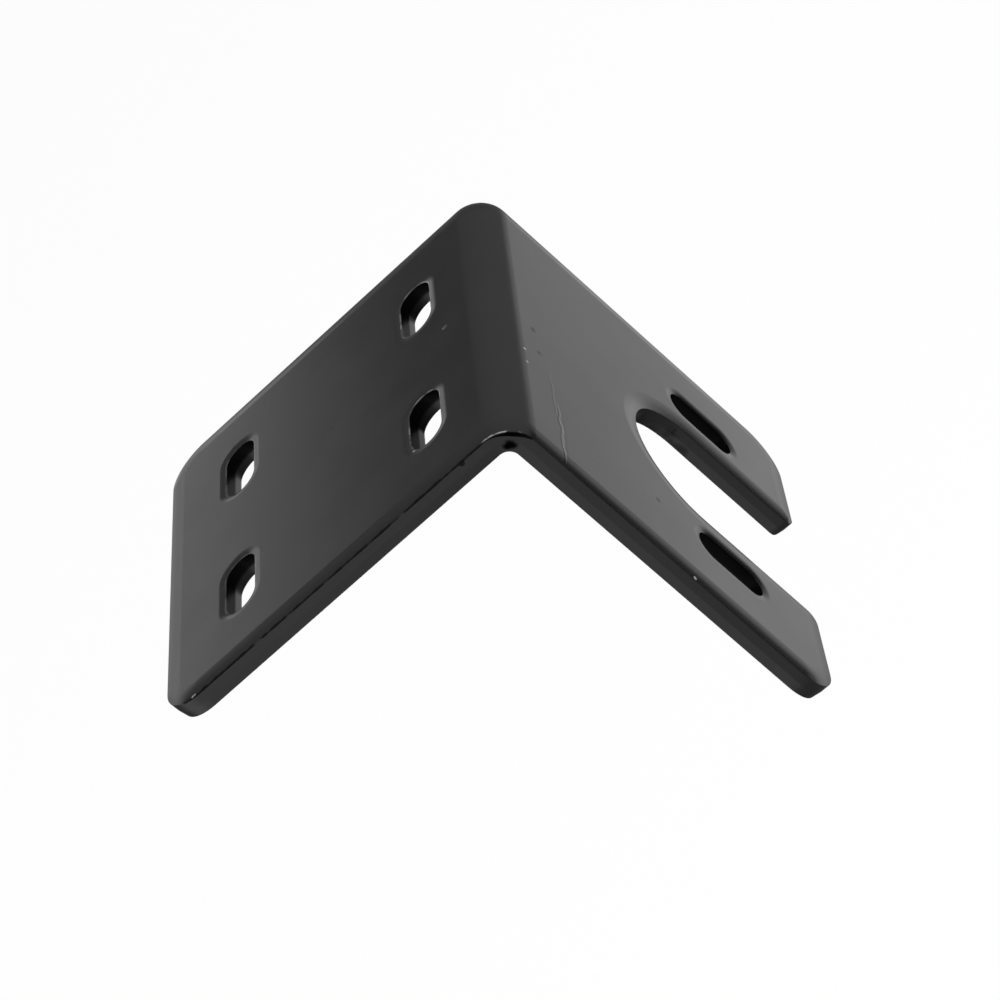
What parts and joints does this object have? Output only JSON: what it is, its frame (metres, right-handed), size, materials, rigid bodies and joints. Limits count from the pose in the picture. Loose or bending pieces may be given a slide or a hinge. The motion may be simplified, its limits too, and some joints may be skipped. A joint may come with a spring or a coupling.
{
  "type": "motor mount bracket",
  "caption": "Right-angle motor bracket folded from sheet steel: a slotted base plate and a forked plate with slots for a face-mounted motor.",
  "frame": {"origin": "middle of the four base slots, on the outer face of the base plate", "axes": "+Z out of the base plate's outer face, +X along the fold, +Y from the fork plate to the free end of the base plate; the fork plate hangs down to -Z"},
  "size_m": [0.05, 0.048, 0.0475],
  "materials": {
    "black_paint": "satin black coating on punched and folded steel"
  },
  "bodies": {
    "root": {"bracket": "black_paint"}
  },
  "joints": []
}
